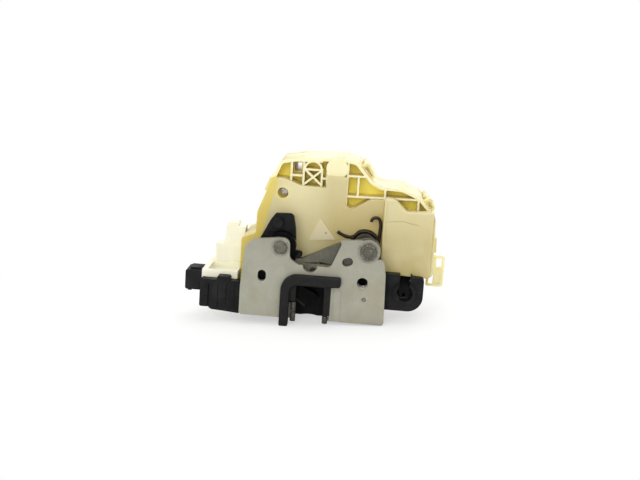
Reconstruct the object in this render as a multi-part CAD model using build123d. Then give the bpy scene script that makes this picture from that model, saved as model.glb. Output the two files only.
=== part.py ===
"""Car door latch with its lock actuator.

The frame: the latch plate stands in the XZ plane with its front face at y = 0, and the latched
striker's axis is the Y axis through the origin. -Y is the face towards the door jamb, +Y goes
into the door, +Z is up, and the striker's mouth opens towards -Z.

Behind the plate lie the claw and the pawl on two rivets, in a black case. A cream moulded
actuator case stands behind them, with the lock motor, its worm gear and the switches inside.
"""
from math import atan2, cos, degrees, hypot, pi, radians, sin, tan
import os

from build123d import *

os.makedirs("parts", exist_ok=True)

# ---------------------------------------------------------------- clearances (mm)
RUN = 0.05            # radial running clearance on a pivot
GAP = 0.3             # side gap between faces that move past each other
LAYER = 0.6           # gap in front of and behind the claw and pawl

# ---------------------------------------------------------------- layers from front to back
PLATE_T = 3.0         # latch plate
LIP_T = 4.0           # mouth bumper standing in front of the plate
CLAW_T = 5.4          # claw with its sleeve, and the pawl
LEVER_T = 2.4         # outer release lever
FLOOR_T = 2.4         # floor of the latch case
BACK_T = 2.0          # steel back plate
STEP_T = 1.6          # standing rim between case floor and back plate
MID_Y = 21.0          # front of the actuator case's smooth wall
RIM_Y = 24.0          # front edges of the ribs and the upper rim
PANEL_Y = 34.0        # recessed panel between the ribs
SPLIT_Y = 50.0        # joint between actuator case and cover
COVER_D = 8.0         # depth of the rear cover
WALL = 2.0            # wall of the cream mouldings
RIB_T = 1.2           # stiffening ribs

CLAW_Y = PLATE_T + LAYER
CLAW_BACK = CLAW_Y + CLAW_T
FLOOR_Y = CLAW_BACK + LAYER
FLOOR_BACK = FLOOR_Y + FLOOR_T
BACK_Y = FLOOR_BACK + STEP_T
BACK_END = BACK_Y + BACK_T
LEVER_Y = CLAW_BACK + GAP
SEAL_T = 0.8
COVER_Y = SPLIT_Y + SEAL_T
COVER_BACK = COVER_Y + COVER_D
POCKET_WALL = 1.4     # black pocket behind the mouth, closed at the back
POCKET_BACK = MID_Y - 1.5
INNER_Y = MID_Y + WALL + 1.5                       # inside of the case's smooth wall

# ---------------------------------------------------------------- places in the front view
CLAW_PIVOT = (-18.8, 27.7)
PAWL_PIVOT = (32.3, 29.0)
SLOT_AT = (-28.9, 10.2)        # left fixing slot
SLOT_W, SLOT_H = 4.9, 6.7
THREAD_AT = (30.0, 10.2)       # right fixing thread, M8 minor radius
THREAD_R = 3.35
NUT_R = 4.9
MOUTH_HALF = 8.3               # half of the clear mouth
MOUTH_TOP = 6.6
LINING_T = 3.8
CLAW_BORE, PAWL_BORE = 4.5, 4.2
CLAW_TURN = 27.0               # from open to latched
PAWL_DROP = 5.0                # from riding on the claw to engaged
CHANNEL_R = 5.0                # striker channel in the claw
CHANNEL_LEAD = -8.6            # direction of that channel when latched
NOSE_REACH = 12.2              # the catch arm's tip along the channel
HOOK_R = 41.4                  # reach of the hook arm
SLEEVE_T = 1.1                 # plastic sleeve around the claw's arms


# ---------------------------------------------------------------- helpers
def outline(*corners):
    """A closed face in the front view from (x, z) or (x, z, corner radius)."""
    spots = [(c[0], c[1]) for c in corners]
    radii = [c[2] if len(c) > 2 else 0 for c in corners]
    if not any(radii):
        return make_face(Polyline(*spots, close=True))
    return make_face(FilletPolyline(*spots, radius=radii, close=True))


def slab(face, front, back):
    """A front-view face made solid between two depths."""
    return extrude(Plane.XZ.offset(-back) * face, amount=back - front)


def disc(at, r, front, back):
    return slab(Pos(*at) * Circle(r), front, back)


def block(x0, x1, y0, y1, z0, z1):
    return Pos((x0 + x1) / 2, (y0 + y1) / 2, (z0 + z1) / 2) * Box(x1 - x0, y1 - y0, z1 - z0)


def rod(start, end, r):
    """A round bar between two points."""
    line = Vector(*end) - Vector(*start)
    return extrude(Plane(origin=start, z_dir=line) * Circle(r), amount=line.length)


def turned(point, about, angle):
    """A front-view point turned anticlockwise about a pivot."""
    a = radians(angle)
    dx, dz = point[0] - about[0], point[1] - about[1]
    return (about[0] + dx * cos(a) - dz * sin(a), about[1] + dx * sin(a) + dz * cos(a))


def polar(about, r, angle):
    return (about[0] + r * cos(radians(angle)), about[1] + r * sin(radians(angle)))


def spin(shape, about, angle):
    """A front-view face turned anticlockwise about a pivot."""
    return Pos(*about) * Rot(0, 0, angle) * Pos(-about[0], -about[1]) * shape


def bar(start, end, width):
    """A straight strip of face with square ends, between two front-view points."""
    dx, dz = end[0] - start[0], end[1] - start[1]
    middle = ((start[0] + end[0]) / 2, (start[1] + end[1]) / 2)
    return Pos(*middle) * Rot(0, 0, degrees(atan2(dz, dx))) * Rectangle(hypot(dx, dz), width)


def one(shape):
    """The largest solid of a result, without loose slivers."""
    return max(shape.solids(), key=lambda s: s.volume)


# ---------------------------------------------------------------- the latch plate and its rivets
def mouth_face(half, top, corner, foot=-30):
    return outline((-half, foot), (-half, top, corner), (half, top, corner), (half, foot))


def plate_face():
    px, pz = PAWL_PIVOT
    body = outline(
        (-41.4, -14.3, 2), (-41.4, 3, 6), (-39.6, 27, 4), (-35, 31.4, 3), (-20, 33.5, 2),
        (-13.6, 33.2, 4), (-13.2, 21.4, 4), (-8, 18.2, 3), (11, 18.2, 3), (16.6, 32.4, 2),
        (15.4, 34.8, 1), (px - 3, 35.4, 3), (px + 5, 24.9, 0.5), (41.8, 24.9, 2.5),
        (43.2, 16, 6), (44.2, -14.3, 2))
    body += Pos(px, pz) * Circle(6.9)
    body -= Pos(-1, 18.4) * Circle(4.3)
    body -= mouth_face(MOUTH_HALF + LINING_T, MOUTH_TOP + LINING_T, 4)
    return body


def latch_plate():
    plate = slab(plate_face(), 0, PLATE_T)
    plate -= disc(CLAW_PIVOT, 3.2, -1, PLATE_T + 1)
    plate -= disc(PAWL_PIVOT, 3.2, -1, PLATE_T + 1)
    plate -= slab(Pos(*SLOT_AT) * Rot(0, 0, 90) * SlotOverall(SLOT_H, SLOT_W), -1, PLATE_T + 1)
    plate -= disc(THREAD_AT, THREAD_R, -1, PLATE_T + 1)
    plate -= slab(Pos(20.6, 22.2) * Rot(0, 0, 20) * SlotOverall(6.4, 4.9), -1, PLATE_T + 1)
    plate -= Pos(31.6, 0, 0.5) * Sphere(1.3)
    plate -= slab(outline((13.5, -15), (18.4, -15), (18.4, 6, 2), (13.5, 6, 2)), -1, 0.35)
    # rolled lips at the mouth's lower corners
    edge = MOUTH_HALF + LINING_T
    for side, tops in ((-1, (-4.4, -10.6)), (1, (-11.8,))):
        x = side * (edge - 2.6)
        for top in tops:
            foot = -16 if top < -10 else -10.2
            plate += rod((x, PLATE_T - 1.4, foot), (x, PLATE_T - 1.4, top), 1.6)
        web = sorted((side * (edge + 0.5), x))
        plate += block(*web, PLATE_T - 2.2, PLATE_T - 0.4, -14.3, tops[0] - 0.6)
    return one(plate)


def rivet(at, head_r, bore_r, ring):
    """A stepped rivet: head, shank in the plate, bearing shoulder and peened tail."""
    shoulder = bore_r - RUN
    body = disc(at, head_r, -1.5, 0) + disc(at, 3.2, 0, PLATE_T)
    body += disc(at, shoulder, PLATE_T, BACK_Y)
    body += disc(at, 2.8, BACK_Y, BACK_END) + disc(at, 3.6, BACK_END, BACK_END + 1.4)
    body = fillet(body.edges().filter_by(GeomType.CIRCLE).group_by(Axis.Y)[0], 0.5)
    if ring:
        body -= disc(at, head_r - 1.2, -2, -1.1) - disc(at, head_r - 2.2, -2, -1.1)
    return one(body)


# ---------------------------------------------------------------- the mouth's plastic bumper
def mouth_bumper():
    edge = MOUTH_HALF + LINING_T
    hook = outline((-17.2, -18.4, 1), (-17.2, 12.8, 9.5), (17.6, 12.8, 1.2), (17.6, 7.2, 1.2),
                   (10, MOUTH_TOP, 1), (-edge + 0.2, MOUTH_TOP, 4.5), (-edge + 0.2, -18.4, 1))
    lip = slab(hook, -LIP_T, 0)
    lip = fillet(lip.edges().group_by(Axis.Y)[0], 0.8)
    ring = mouth_face(edge, MOUTH_TOP + LINING_T, 4) - mouth_face(MOUTH_HALF, MOUTH_TOP, 2.5)
    lining = slab(ring, -0.6, PLATE_T + GAP)
    lining -= block(-20, 0, -5, 10, -40, -3.4)
    lining -= block(0, 20, -5, 10, -40, -11.2)
    return one(lip + lining)


# ---------------------------------------------------------------- claw and pawl
def flank(side, reach, drop=0.0):
    """A point beside the striker's channel in the latched claw, side 1 above and -1 below."""
    a = radians(CHANNEL_LEAD)
    out = CHANNEL_R - drop
    return (reach * cos(a) - side * out * sin(a), reach * sin(a) + side * out * cos(a))


def claw_outline():
    """The claw's front view when latched, from hub to hook and catch arms."""
    p = CLAW_PIVOT
    back, under = flank(1, 0), flank(-1, 0)
    nose, hook = flank(1, NOSE_REACH), flank(-1, 6.6)
    body = outline(
        (p[0] - 4, p[1]), (-17.6, 15, 8), (-13.4, 2, 10), (-12.2, -9, 6), (-9.6, -13.4, 2),
        (3.5, -9.6, 1), (hook[0] + 1.2, hook[1] - 1.8, 0.8), (hook[0] + 0.4, hook[1], 0.6),
        under, (-0.8 * CHANNEL_R, 0), back, nose,
        (nose[0] + 1.0, nose[1] + 3.2, 1), (16.2, 11.4, 2), (14.6, 13.4, 2), (-3, 13.0, 3),
        (-10.4, 15.8, 3), (p[0] + 7.2, p[1] - 4))
    body -= Circle(CHANNEL_R)
    body += Pos(*p) * Circle(8.5)
    return body & (Pos(*p) * Circle(HOOK_R))


def claw_faces():
    """Steel core and plastic sleeve of the claw in the open position."""
    whole = claw_outline()
    inner = offset(whole, amount=-SLEEVE_T, kind=Kind.ARC)
    sleeve = (whole - inner) & outline((-30, -20), (11.2, -20), (11.2, 13.5), (-30, 13.5))
    sleeve = max(sleeve.faces(), key=lambda f: f.area)
    core = whole - sleeve
    core = max(core.faces(), key=lambda f: f.area)
    bore = Pos(*CLAW_PIVOT) * Circle(CLAW_BORE)
    return spin(core - bore, CLAW_PIVOT, -CLAW_TURN), spin(sleeve, CLAW_PIVOT, -CLAW_TURN)


def pawl_outline():
    """The pawl riding on the claw: release arm to the left, nose arm down, hub at the right."""
    p = PAWL_PIVOT
    nose = [flank(1, NOSE_REACH - 2.3, 0.35), flank(1, NOSE_REACH + 0.35, 0.35),
            polar(CLAW_PIVOT, 40.4, -33), polar(CLAW_PIVOT, 40.8, -26)]
    tail = [(22.4, 13.6), (20.6, 7.4), (17.6, 0.8), (12.4, -1.0), (9.8, 1.6)]
    nose = [turned(q, p, PAWL_DROP) for q in nose]
    tail = [turned(q, p, PAWL_DROP) for q in tail]
    body = outline(
        (-9.8, 21.0, 0.8), (-6.2, 21.2, 4), (13.6, 31.4, 6), (p[0] - 2, p[1] + 6.8),
        (p[0] + 5, p[1] - 4.5), (27.5, 19.5, 4), (*tail[0], 5), (*tail[1], 6), (*tail[2], 3),
        (*tail[3], 1.2), (*tail[4], 0.8), (*nose[0], 0.5), nose[1], (*nose[2], 3),
        (*nose[3], 5), (12.1, 18.8, 5), (5, 20.3, 6), (-9.2, 18.6, 1))
    body += Pos(*p) * Circle(7)
    return body - Pos(*p) * Circle(PAWL_BORE)


PEG_AT = (-8.4, 22.6)          # the outer lever's peg above the pawl's release arm


def outer_release_lever():
    p = CLAW_PIVOT
    face = outline((-23.6, 46.0, 1.5), (-13.0, 46.4, 3), (-11.3, 37, 8), (-10.7, 26),
                   (-10.6, 17.4, 2), (-14, 16.2, 2), (-22, 18.5, 6), (-33, 28.5, 3), (-26.4, 42, 6))
    face += bar((-12, 22.6), PEG_AT, 3.6) + Pos(*PEG_AT) * Circle(1.8)
    face -= Pos(*p) * Circle(CLAW_BORE)
    lever = slab(face, LEVER_Y, LEVER_Y + LEVER_T)
    lever += disc(PEG_AT, 1.1, CLAW_Y + 1, LEVER_Y)
    lever += disc((-21.4, 41.5), 2.0, CLAW_Y, LEVER_Y)
    lever += disc((-21.4, 41.5), 2.8, CLAW_Y - 1, CLAW_Y)
    lever -= slab(bar((-27.4, 34.5), (-18.6, 35.2), 0.8), LEVER_Y - 1, LEVER_Y + 0.6)
    return one(lever)


# ---------------------------------------------------------------- latch case and back plate
def latch_case():
    """Black tray behind the plate with a wing to the left that covers the connector block."""
    wall, left, right, foot, top = 2.0, -41.3, 43.0, -14.2, 12.0
    floor = outline((left, foot, 2), (left, top, 2), (-23.4, top, 1), (-23.4, top - 2),
                    (24.4, top - 2), (24.4, top + 4), (right, top + 4, 2), (right, foot, 2))
    tray = slab(floor, PLATE_T, FLOOR_BACK)
    room = outline((left + wall, foot + wall), (left + wall, 40), (right - wall, 40),
                   (right - wall, foot + wall))
    tray -= slab(room, PLATE_T - 1, FLOOR_Y)
    tray -= slab(outline((-31, -20), (-31, -5), (13, -5), (13, -20)), PLATE_T - 1, FLOOR_Y)
    pocket = mouth_face(MOUTH_HALF + POCKET_WALL, MOUTH_TOP + POCKET_WALL, 4, foot)
    tray += slab(pocket, FLOOR_Y, POCKET_BACK)
    apron = mouth_face(MOUTH_HALF + POCKET_WALL, MOUTH_TOP, 4, foot - 2.4) - Pos(-1, -36) * Circle(20)
    tray += slab(apron, POCKET_BACK - POCKET_WALL, POCKET_BACK)
    tray -= slab(mouth_face(MOUTH_HALF, MOUTH_TOP, 3), 0, POCKET_BACK - POCKET_WALL)
    # blind pocket behind the nut for the end of the screw
    tray += disc(THREAD_AT, NUT_R, FLOOR_BACK, BACK_END)
    tray -= disc(THREAD_AT, 4.4, 0, BACK_END - 1.2)
    rim = floor - offset(floor, amount=-1.6, kind=Kind.INTERSECTION)
    tray += slab(rim & outline((left, foot), (left, top + 4), (-14, top + 4), (-14, foot)),
                 FLOOR_BACK, BACK_Y)
    tray += slab(rim & outline((14, foot), (14, top + 4), (right, top + 4), (right, foot)),
                 FLOOR_BACK, BACK_Y)
    # the wing
    wing = outline((-65.9, -12.8, 1), (-65.9, 4, 1), (-56, 4), (-55.6, 6.4, 0.8), (-48.4, 6.4, 0.8),
                   (-48, 4), (left, 4), (left, -14.2), (-42.1, -15.4, 1), (-52, -14.6, 1),
                   (-58.6, -14.2, 1), (-61, -12.8))
    shell = slab(wing, 5, 11)
    shell -= slab(offset(wing, amount=-1.8, kind=Kind.INTERSECTION), 7, 12)
    shell -= slab(bar((-60.6, -14), (-60.6, 1), 0.9), 4, 5.8)
    for x in (-55, -50, -45):
        shell -= slab(bar((x, -12.5), (x, 2.5), 0.7), 4, 5.3)
    return one(tray + shell)


def back_plate():
    face = outline((-40.6, -13.6, 2), (-40.6, 12, 3), (-26, 32, 5), (-13.5, 32, 4), (-10.5, 16, 4),
                   (20, 16, 4), (26, 33.4, 4), (37.6, 33.4, 4), (38.2, 14, 3), (42.3, 13, 2),
                   (42.3, -13.6, 2))
    grow = POCKET_WALL + 0.1
    face -= mouth_face(MOUTH_HALF + grow, MOUTH_TOP + grow, 4)
    face -= Pos(*CLAW_PIVOT) * Circle(2.8)
    face -= Pos(*PAWL_PIVOT) * Circle(2.8)
    face -= Pos(*THREAD_AT) * Circle(5)
    face -= Pos(*SLOT_AT) * Circle(4)
    for at in STAKES:
        face -= Pos(*at) * Circle(1.8)
    return one(slab(face, BACK_Y, BACK_END))


STAKES = ((-36.5, -8.0), (37.0, -8.0), (0.0, 12.6))


def weld_nut():
    """Threaded collar pressed on the back of the plate behind the right fixing hole."""
    ring = Pos(*THREAD_AT) * (Circle(NUT_R) - Circle(THREAD_R))
    return one(slab(ring, PLATE_T, PLATE_T + 6))


# ---------------------------------------------------------------- springs
def coil(at, r, wire, front, turns, start, legs):
    """A torsion spring about the Y direction: helix plus two legs given as point lists."""
    steps = int(turns * 12)
    path = [(at[0] + r * cos(radians(start + 360 * turns * i / steps)),
             front + wire / 2 + SPRING_PITCH * turns * i / steps,
             at[1] + r * sin(radians(start + 360 * turns * i / steps))) for i in range(steps + 1)]
    line = Spline(*legs[0], *path, *legs[1])
    section = Plane(origin=line @ 0, z_dir=line % 0) * Circle(wire / 2)
    return sweep(section, path=line)


SPOOL_AT = (29.6, 29.8)
SPOOL_R = 6.5
SPRING_WIRE = 1.9
SPRING_PITCH = 2.0
SPRING_TURNS = 1.35


def spring_spool():
    """Drum on the case's wall, behind the pawl's rivet, that the spring's coil sits around."""
    drum = disc(SPOOL_AT, SPOOL_R, BACK_END + 1.6, MID_Y)
    drum -= disc(SPOOL_AT, SPOOL_R - 1.6, BACK_END, BACK_END + 2.4)
    return one(drum)


def pawl_spring():
    """Coil with a hook standing up at the right and a leg to the left."""
    r = SPOOL_R + SPRING_WIRE / 2 + 0.3
    x, z = SPOOL_AT
    front = BACK_END + 0.6
    near = front + SPRING_WIRE / 2
    far = near + SPRING_TURNS * SPRING_PITCH
    up = [(x + 2.8, near, z + 14), (x + 4.6, near, z + 16.4), (x + 6.9, near, z + 16.2),
          (x + 8.3, near, z + 13.4), (x + 8.4, near, z + 9), (x + r + 0.4, near, z + 4)]
    away = [(x - 7.4, far, z + 3.6), (x - 11, far, z + 3.4), (x - 16.8, far, z + 6)]
    return coil(SPOOL_AT, r, SPRING_WIRE, front, SPRING_TURNS, 0, (up, away))


CLAW_WIRE = 1.3


def claw_spring():
    """Single open coil around the claw's rivet behind the release lever."""
    x, z = CLAW_PIVOT
    r = CLAW_BORE + CLAW_WIRE / 2 + 0.3
    y = FLOOR_BACK + (STEP_T - CLAW_WIRE) / 2 + CLAW_WIRE / 2
    arc = [(x + r * cos(radians(a)), y, z + r * sin(radians(a))) for a in range(-60, 241, 20)]
    line = Spline((x + 4.2, y, z - 16), (x + 3.6, y, z - 11), *arc,
                  (x - 5.2, y, z - 11), (x - 7.0, y, z - 13.8))
    return sweep(Plane(origin=line @ 0, z_dir=line % 0) * Circle(CLAW_WIRE / 2), path=line)


# ---------------------------------------------------------------- actuator case, cover and seal
CASE_BORE = (-21.3, 56.3)      # through bore for a door screw
CASE_BORE_R = 3.3
SCREW_AT = ((-38.0, 8.4), (64.0, 20.0), (61.0, 44.0), (-27.5, 40.0), (4.0, 20.0))
SCREW_R = 1.5


CASE_CORNERS = (
    (-44.6, -10, 3), (-44.6, 27.4, 2), (-36.2, 30.5, 2), (-36.0, 44, 12), (-24.2, 75, 4),
    (-11, 77.8, 18), (13.4, 78.8, 8), (21.8, 77.4, 5), (31.4, 66.4, 6), (37.0, 63.7, 4),
    (49.5, 63.5, 9), (60, 59.2, 7), (70.2, 48.4, 6), (71.4, 11.5, 3), (44.5, 11.5, 2),
    (43.5, -10, 3))


def case_face():
    """Outer outline of the cream case, clockwise from its lower left corner."""
    return outline(*CASE_CORNERS)


def upper_face():
    """Everything above the smooth wall's wavy upper edge."""
    return outline((-50, 65.5), (-20.5, 65.0), (-10.6, 61.3, 2), (4.2, 61.3), (4.2, 68.2),
                   (16.0, 68.2), (16.0, 51.6, 3), (20, 49.2, 3), (31, 56.2, 4), (45, 56.4, 4),
                   (54, 49.8, 3), (80, 49.8), (80, 100), (-50, 100))


def recess_face():
    """The deep ribbed field of the upper front."""
    return upper_face() & offset(case_face(), amount=-1.8, kind=Kind.INTERSECTION)


LOOP_Y = (SPLIT_Y - 15, SPLIT_Y - 13)
WINDOW = ((-16.2, 68.0), (-11.9, 73.4))


def window_face(grow=0.0):
    (x0, z0), (x1, z1) = WINDOW
    return Pos((x0 + x1) / 2, (z0 + z1) / 2) * Rectangle(x1 - x0 + 2 * grow, z1 - z0 + 2 * grow)


def rib_faces():
    """Centre lines of the stiffening ribs on the recessed field."""
    lines = [((-17.2, 63), (-17.2, 78)), ((-9.9, 61), (-9.9, 78)), ((-17.2, 67.0), (-9.9, 67.0)),
             ((-9.4, 62), (1.0, 71)), ((-9.4, 71), (1.0, 62)), ((1.0, 61), (1.0, 72)),
             ((-9.9, 71), (1.0, 71)), ((-24, 75.6), (1.0, 76.2)), ((1.0, 66.2), (4.2, 66.2)),
             ((4.2, 61), (4.2, 70)), ((16.4, 51), (16.4, 80)), ((16.4, 68.8), (31, 69.2)),
             ((23, 57), (23, 69)), ((16.4, 56.6), (59.6, 57.6)), ((39.2, 56), (39.2, 64)),
             ((59.4, 50), (59.4, 60))]
    ribs = bar(*lines[0], RIB_T)
    for line in lines[1:]:
        ribs += bar(*line, RIB_T)
    arch = Circle(5 + RIB_T / 2) - Circle(5 - RIB_T / 2)
    return ribs + Pos(-4.4, 71) * (arch & (Pos(0, 5) * Rectangle(12, 10)))


def snap_lug(at, angle, front):
    """A wedge on the case's side wall that the cover's clip snaps over."""
    lug = Plane.XY * make_face(Polyline((-0.5, 0), (1.8, 0), (1.8, 1.2), (-0.5, 5), close=True))
    solid = extrude(lug, amount=2.2, both=True)
    return Pos(at[0], front, at[1]) * Rot(0, -angle, 0) * solid


def on_side(a, b, share):
    """A spot on a straight side of the outline walked clockwise, and its outward direction."""
    spot = (a[0] + share * (b[0] - a[0]), a[1] + share * (b[1] - a[1]))
    return spot, degrees(atan2(b[0] - a[0], a[1] - b[1]))


SNAPS = (on_side(CASE_CORNERS[7], CASE_CORNERS[8], 0.56),
         on_side(CASE_CORNERS[11], CASE_CORNERS[12], 0.5),
         on_side(CASE_CORNERS[12], CASE_CORNERS[13], 0.55),
         on_side(CASE_CORNERS[3], CASE_CORNERS[4], 0.45))


def snap_clip(at, angle, front, back):
    """A loop of the cover standing outside the case's side wall."""
    strap = block(0.3, 2.1, front, back, -4.5, 4.5) - block(0, 3, front + 1.8, front + 7.6, -2.7, 2.7)
    strap += block(-1.5, 2.1, back - 3, back, -4.5, 4.5)
    return Pos(at[0], 0, at[1]) * Rot(0, -angle, 0) * strap


def cable_loop():
    """Open frame at the lower right of the case that a cable clips into."""
    frame = slab(outline((69.5, 22.4, 1), (78.6, 22.4, 1.5), (78.6, 3.2, 1.5), (68.2, 3.2, 1),
                         (68.2, 13, 1), (69.5, 14)), *LOOP_Y)
    frame -= block(73.6, 77.0, 0, SPLIT_Y, 15.6, 20.8)
    frame -= block(69.8, 72.4, 0, SPLIT_Y, 4.8, 10.4)
    frame -= block(73.6, 77.2, 0, LOOP_Y[0] + 0.8, 4.8, 14.4)
    return frame


def actuator_case():
    outer = case_face()
    inner = offset(outer, amount=-WALL, kind=Kind.INTERSECTION)
    case = slab(outer, RIM_Y, SPLIT_Y)
    field = recess_face()
    case += slab(outer - upper_face(), MID_Y, RIM_Y)
    case -= slab(field, RIM_Y - 1, PANEL_Y)
    case += slab(rib_faces() & field, RIM_Y, PANEL_Y + 0.5)
    case += disc((9.8, 72.6), 6.4, RIM_Y - 0.5, PANEL_Y + 0.5)
    # hollow, one depth behind the recessed field and another behind the smooth wall
    deep = inner - offset(field, amount=WALL, kind=Kind.INTERSECTION)
    case -= slab(inner, PANEL_Y + WALL, SPLIT_Y + 1)
    case -= slab(deep, INNER_Y, SPLIT_Y + 1)
    # posts for the screws, the wheel's axle, the through bore and the window
    case += disc(LINK_PIVOT, 2.0, LINK_Y0 - 0.4, MID_Y + 0.5)
    for at in SCREW_AT:
        case += disc(at, 3.6, MID_Y + WALL, SPLIT_Y)
    case += disc(CASE_BORE, CASE_BORE_R + 1.8, MID_Y, SPLIT_Y)
    case += slab(window_face(1.5), PANEL_Y, SPLIT_Y)
    case += disc(WHEEL_AT, 4.4, MID_Y + WALL, MID_Y + 10)
    for x in (MOTOR_X0 + 4, MOTOR_X1 - 6):      # saddles under the motor
        case += block(x, x + 2, INNER_Y - 1, MOTOR_Y0, WORM_Z - 7, WORM_Z + 2)
        case += block(x, x + 2, PANEL_Y + 1, MOTOR_Y0, WORM_Z + 1, WORM_Z + 7)
    # bosses and stakes that carry the latch
    for at in STAKES:
        case += disc(at, 4.2, BACK_END, MID_Y + WALL)
        case += disc(at, 1.75, BACK_Y - 1.2, BACK_END)
    # raised facet and lug of the smooth wall
    case += slab(outline((1.9, 43), (-4.1, 29), (11.8, 30.6)), MID_Y - 0.8, MID_Y + 0.5)
    for at, angle in SNAPS:
        case += snap_lug(at, angle, SPLIT_Y - 9.6)
    for (at, angle), width in zip(SNAPS[:2], (10, 8)):      # open lugs on the upper edge
        lug = slab(outline((-1, -width / 2), (2.6, -width / 2, 1.5), (4.6, width / 2 - 1, 1.5),
                           (-1, width / 2)), RIM_Y + 3, RIM_Y + 9)
        lug -= slab(outline((0.6, 1.4 - width / 2), (1.8, 1.4 - width / 2), (3.2, width / 2 - 2.4),
                            (0.6, width / 2 - 1.6)), RIM_Y + 2, RIM_Y + 10)
        case += Pos(at[0], 0, at[1]) * Rot(0, -angle, 0) * lug
    case += cable_loop()
    for at in SCREW_AT:
        case -= disc(at, SCREW_R, SPLIT_Y - 12, SPLIT_Y + 1)
    case -= disc(CASE_BORE, CASE_BORE_R, MID_Y - 1, SPLIT_Y + 1)
    case -= slab(window_face(), PANEL_Y - 1, SPLIT_Y + 1)
    case -= disc(WHEEL_AT, AXLE_R, MID_Y + WALL + 1, MID_Y + 11)
    case -= block(-46, -42, 30, 46, -8, 4)      # contacts from the connector block
    return one(case)


def case_seal():
    outer = case_face()
    ring = (offset(outer, amount=-0.3, kind=Kind.INTERSECTION)
            - offset(outer, amount=-WALL + 0.3, kind=Kind.INTERSECTION))
    return one(slab(ring, SPLIT_Y, COVER_Y))


def actuator_cover():
    outer = case_face()
    inner = offset(outer, amount=-WALL, kind=Kind.INTERSECTION)
    cover = slab(outer, COVER_Y, COVER_BACK) - slab(inner, COVER_Y - 1, COVER_BACK - WALL)
    for x in range(-36, 66, 17):                # stiffening ribs on the outside
        rib = slab(bar((x, -30), (x, 90), RIB_T) & inner, COVER_BACK - 0.5, COVER_BACK + 1.5)
        cover += rib
    for z in (4, 30, 56):
        cover += slab(bar((-80, z), (80, z), RIB_T) & inner, COVER_BACK - 0.5, COVER_BACK + 1.5)
    for at in SCREW_AT:
        cover += disc(at, 3.6, SPLIT_Y, COVER_BACK + 1.5)
    cover += disc(CASE_BORE, CASE_BORE_R + 1.8, SPLIT_Y, COVER_BACK + 1.5)
    cover += slab(window_face(1.5), SPLIT_Y, COVER_BACK)
    cover += disc(WHEEL_AT, 4.0, COVER_Y, COVER_BACK - WALL)
    for at, angle in SNAPS:
        cover += snap_clip(at, angle, SPLIT_Y - 12, COVER_BACK)
    for at in SCREW_AT:
        cover -= disc(at, SCREW_R + 0.2, SPLIT_Y - 1, COVER_BACK + 3)
        cover -= disc(at, 2.9, COVER_BACK - 0.5, COVER_BACK + 3)
    cover -= disc(CASE_BORE, CASE_BORE_R, SPLIT_Y - 1, COVER_BACK + 3)
    cover -= slab(window_face(), SPLIT_Y - 1, COVER_BACK + 3)
    cover -= disc(WHEEL_AT, AXLE_R, COVER_Y - 1, COVER_BACK - WALL)
    return one(cover)


def case_screws():
    screws = []
    for at in SCREW_AT:
        screw = disc(at, SCREW_R - 0.02, SPLIT_Y - 10, COVER_BACK - 0.5)
        screw += disc(at, 2.7, COVER_BACK - 0.5, COVER_BACK + 1.5)
        screw -= slab(Pos(*at) * RegularPolygon(1.3, 6), COVER_BACK + 0.3, COVER_BACK + 2)
        screws.append(one(screw))
    return Compound(screws)


def linkage_cover():
    """Smooth cream cover on the right that closes the inner release linkage."""
    face = outline((39.4, 14.0, 1.5), (39.4, 58.6, 1.5), (45.0, 58.6, 5), (52.8, 51.6, 3),
                   (69.0, 52.2, 3), (69.6, 12.4, 2), (45, 13.2, 1))
    inner = offset(face, amount=-1.8, kind=Kind.INTERSECTION)
    cover = slab(face, BACK_END - 1.1, MID_Y)
    cover = fillet(cover.edges().group_by(Axis.Y)[0], 1.0)
    cover -= slab(inner, BACK_END + 0.9, MID_Y + 1)
    cover -= slab(bar((41.2, 34), (41.2, 56), 0.8), BACK_END - 2, BACK_END - 0.7)
    cover -= slab(bar((41.5, 44.9), (51, 46.0), 0.6) + bar((51, 46.0), (60, 44.2), 0.6),
                  BACK_END - 2, BACK_END - 0.7)
    return one(cover)


LINK_PIVOT = (55.0, 31.0)
LINK_Y0, LINK_Y1 = 17.4, 20.4


def release_link():
    """Flat lever under the right cover that passes the inner release on towards the pawl."""
    x, z = LINK_PIVOT
    face = outline((x - 2.6, z - 13.6, 1.5), (x + 2.6, z - 13.6, 1.5), (x + 5, z + 3, 4),
                   (x - 1, z + 6, 3), (x - 9.4, z + 9.6, 1.5), (x - 11, z + 5.6, 1.5), (x - 4.4, z, 3))
    face -= Pos(x, z) * Circle(2.0 + RUN)
    face -= Pos(x, z - 10.8) * Circle(1.4)
    return one(slab(face, LINK_Y0, LINK_Y1))


# ---------------------------------------------------------------- cable bracket and inner lever
KEYHOLE_AT = (55.2, 4.4)
KEYHOLE_R = 4.7
NECK_W = 6.3
BRACKET_Y, BRACKET_T = 7.0, 6.0
INNER_PIVOT_Y, INNER_PIVOT_Z = 31.0, 7.6


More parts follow.
